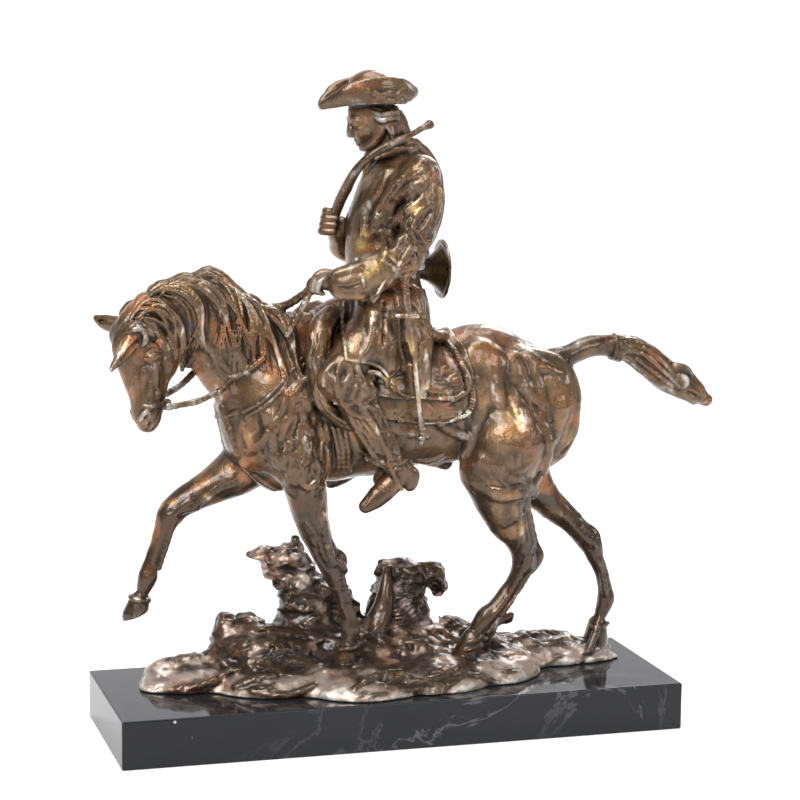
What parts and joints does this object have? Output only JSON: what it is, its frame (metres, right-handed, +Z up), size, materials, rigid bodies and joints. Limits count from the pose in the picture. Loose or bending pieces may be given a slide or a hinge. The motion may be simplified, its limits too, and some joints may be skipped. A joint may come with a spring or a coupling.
{
  "type": "equestrian statuette",
  "caption": "Bronze figure of a huntsman in a tricorne riding a walking horse, a horn slung round him, on rough ground and a flat black marble plinth.",
  "frame": {"origin": "centre of the plinth's underside", "axes": "+Z up, -X the way the horse faces, +Y away from the side that the picture shows"},
  "size_m": [0.4071, 0.12, 0.4145],
  "materials": {
    "marble": "polished near-black marble with a few white specks and faint veins",
    "bronze": "cast bronze with a brown patina, rubbed golden on the raised forms and dark in the hollows"
  },
  "bodies": {
    "root": {"marble_plinth": "marble", "bronze_horse_and_rider": "bronze"}
  },
  "joints": []
}
